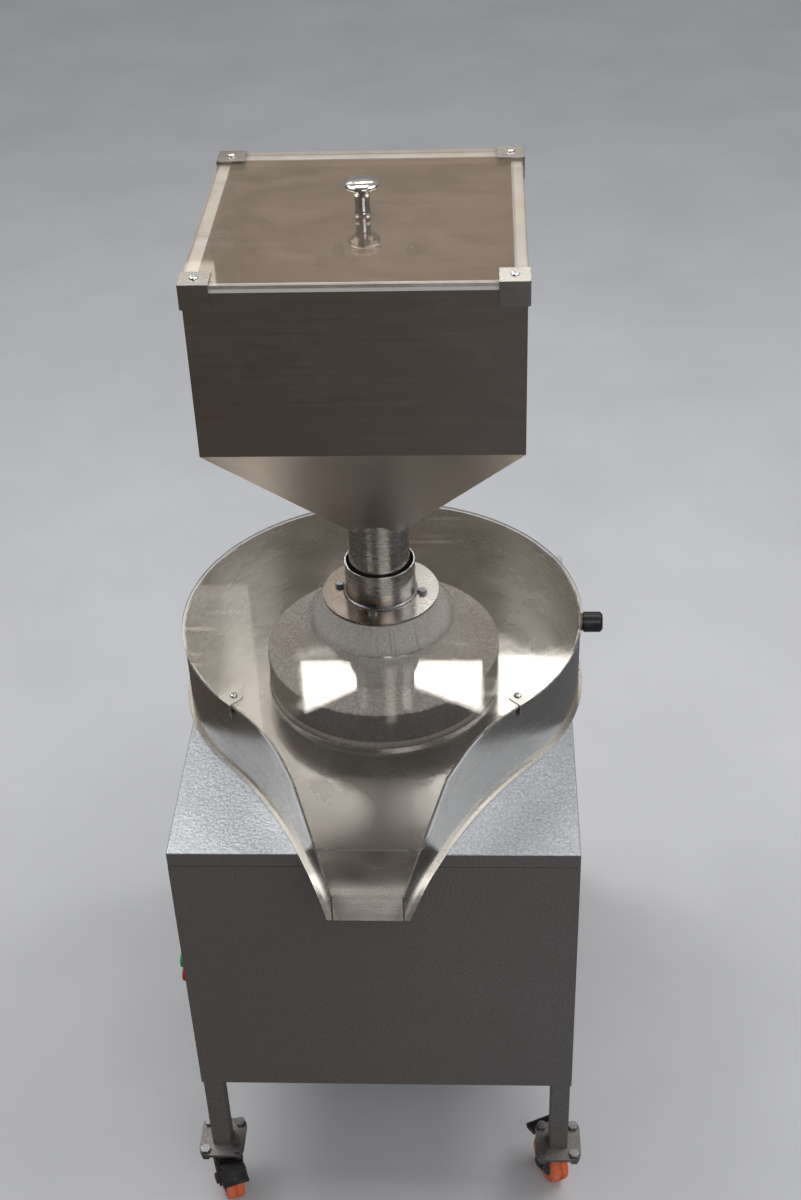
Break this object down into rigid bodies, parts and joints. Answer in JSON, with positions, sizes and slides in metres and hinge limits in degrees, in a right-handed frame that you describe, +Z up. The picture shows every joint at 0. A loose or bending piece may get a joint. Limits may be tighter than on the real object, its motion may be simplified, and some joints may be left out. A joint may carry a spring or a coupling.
{
  "type": "stone mill",
  "caption": "Electric stone mill: square hopper with a clear lid over millstones in a steel bowl with a front spout, on a painted cabinet with braked casters.",
  "frame": {"origin": "middle of the machine's outline at the floor", "axes": "+X to the operator's right, -Y towards the operator and the spout, +Z up"},
  "size_m": [0.558, 0.7252, 1.321],
  "materials": {
    "stainless": "brushed",
    "hopper_steel": "brushed",
    "cabinet_paint": "hammertone",
    "frame_paint": "satin",
    "millstone": "dressed",
    "clear_acrylic": "polished",
    "zinc": "plated",
    "chrome": "polished",
    "machined_steel": "turned",
    "cast_iron": "as cast",
    "motor_paint": "satin",
    "black_plastic": "gloss",
    "case_plastic": "matte",
    "black_paint": "gloss",
    "orange_tread": "satin",
    "green_plastic": "gloss",
    "red_plastic": "gloss",
    "black_rubber": "matte"
  },
  "bodies": {
    "cabinet": {"legs": "frame_paint", "frame_rails": "frame_paint", "cabinet_top": "cabinet_paint", "front_panel": "cabinet_paint", "left_panel": "cabinet_paint", "right_panel": "cabinet_paint", "rear_panel": "cabinet_paint", "rear_panel_screws": "zinc", "motor_shelf": "frame_paint", "bowl_floor": "stainless", "bowl_wall": "stainless", "seat_ring": "stainless", "bed_stone": "millstone", "stone_carrier": "frame_paint", "bearing_housing": "cast_iron", "spindle_bearings": "machined_steel", "spindle_seal": "black_rubber", "housing_bolts": "zinc", "motor_body": "motor_paint", "motor_terminal_box": "motor_paint", "motor_fan_housing": "motor_paint", "motor_bolts": "zinc", "drive_belt": "black_rubber", "hopper_post": "stainless", "hopper_arm": "stainless", "post_bolts": "zinc", "switch_case": "case_plastic", "cable_gland": "case_plastic", "bowl_grip": "black_plastic", "hopper": "hopper_steel", "hopper_neck": "stainless", "caster_plates": "zinc", "caster_bolts": "zinc"},
    "lid": {"hopper_lid": "clear_acrylic", "lid_corner_caps": "stainless", "lid_screws": "chrome", "lid_knob": "chrome"},
    "cover": {"bowl_cover": "clear_acrylic", "cover_tabs": "stainless", "cover_tab_screws": "chrome"},
    "runner": {"runner_stone": "millstone", "feed_collar": "stainless", "flange_bolts": "zinc", "spindle": "machined_steel", "stone_driver": "cast_iron", "driven_pulley": "cast_iron"},
    "motor_rotor": {"motor_shaft": "machined_steel", "motor_pulley": "cast_iron"},
    "start_button": {"start_button": "green_plastic"},
    "stop_button": {"stop_button": "red_plastic"},
    "front_left_caster": {"front_left_caster_fork": "black_paint"},
    "front_left_wheel": {"front_left_caster_wheel": "orange_tread"},
    "front_left_brake": {"front_left_brake_pedal": "black_plastic"},
    "front_right_caster": {"front_right_caster_fork": "black_paint"},
    "front_right_wheel": {"front_right_caster_wheel": "orange_tread"},
    "front_right_brake": {"front_right_brake_pedal": "black_plastic"},
    "rear_left_caster": {"rear_left_caster_fork": "black_paint"},
    "rear_left_wheel": {"rear_left_caster_wheel": "orange_tread"},
    "rear_right_caster": {"rear_right_caster_fork": "black_paint"},
    "rear_right_wheel": {"rear_right_caster_wheel": "orange_tread"}
  },
  "joints": [
    {"name": "runner_spin", "type": "hinge", "parent": "cabinet", "child": "runner", "pos_m": [0, 0.05444, 0.6548], "axis": [0, 0, 1], "continuous": true},
    {"name": "motor_spin", "type": "hinge", "parent": "cabinet", "child": "motor_rotor", "pos_m": [0, -0.13556, 0.492], "axis": [0, 0, 1], "continuous": true},
    {"name": "lid_lift", "type": "slide", "parent": "cabinet", "child": "lid", "axis": [0, 0, 1], "range_m": [0, 0.2]},
    {"name": "cover_lift", "type": "slide", "parent": "cabinet", "child": "cover", "axis": [0, 0, 1], "range_m": [0, 0.15]},
    {"name": "start_button_press", "type": "slide", "parent": "cabinet", "child": "start_button", "axis": [1, 0, 0], "range_m": [0, 0.003], "stiffness_N_per_m": 500},
    {"name": "stop_button_press", "type": "slide", "parent": "cabinet", "child": "stop_button", "axis": [1, 0, 0], "range_m": [0, 0.003], "stiffness_N_per_m": 500},
    {"name": "front_left_swivel", "type": "hinge", "parent": "cabinet", "child": "front_left_caster", "pos_m": [-0.226, -0.25856, 0.0825], "axis": [0, 0, 1], "continuous": true},
    {"name": "front_left_wheel_roll", "type": "hinge", "parent": "front_left_caster", "child": "front_left_wheel", "pos_m": [-0.21926, -0.27525, 0.0325], "axis": [0.9272, 0.3746, 0], "continuous": true},
    {"name": "front_left_brake_press", "type": "hinge", "parent": "front_left_caster", "child": "front_left_brake", "pos_m": [-0.21701, -0.28081, 0.0706], "axis": [0.9272, 0.3746, 0], "range_deg": [0, 10]},
    {"name": "front_right_swivel", "type": "hinge", "parent": "cabinet", "child": "front_right_caster", "pos_m": [0.226, -0.25856, 0.0825], "axis": [0, 0, 1], "continuous": true},
    {"name": "front_right_wheel_roll", "type": "hinge", "parent": "front_right_caster", "child": "front_right_wheel", "pos_m": [0.21839, -0.24225, 0.0325], "axis": [-0.9063, -0.4226, 0], "continuous": true},
    {"name": "front_right_brake_press", "type": "hinge", "parent": "front_right_caster", "child": "front_right_brake", "pos_m": [0.21586, -0.23681, 0.0706], "axis": [-0.9063, -0.4226, 0], "range_deg": [0, 10]},
    {"name": "rear_left_swivel", "type": "hinge", "parent": "cabinet", "child": "rear_left_caster", "pos_m": [-0.226, 0.31344, 0.0825], "axis": [0, 0, 1], "continuous": true},
    {"name": "rear_left_wheel_roll", "type": "hinge", "parent": "rear_left_caster", "child": "rear_left_wheel", "pos_m": [-0.21443, 0.29965, 0.0325], "axis": [0.766, 0.6428, 0], "continuous": true},
    {"name": "rear_right_swivel", "type": "hinge", "parent": "cabinet", "child": "rear_right_caster", "pos_m": [0.226, 0.31344, 0.0825], "axis": [0, 0, 1], "continuous": true},
    {"name": "rear_right_wheel_roll", "type": "hinge", "parent": "rear_right_caster", "child": "rear_right_wheel", "pos_m": [0.217, 0.29785, 0.0325], "axis": [0.866, -0.5, 0], "continuous": true}
  ],
  "couplings": [
    {"joint": "motor_spin", "follows": "runner_spin", "ratio": 2.8571}
  ]
}
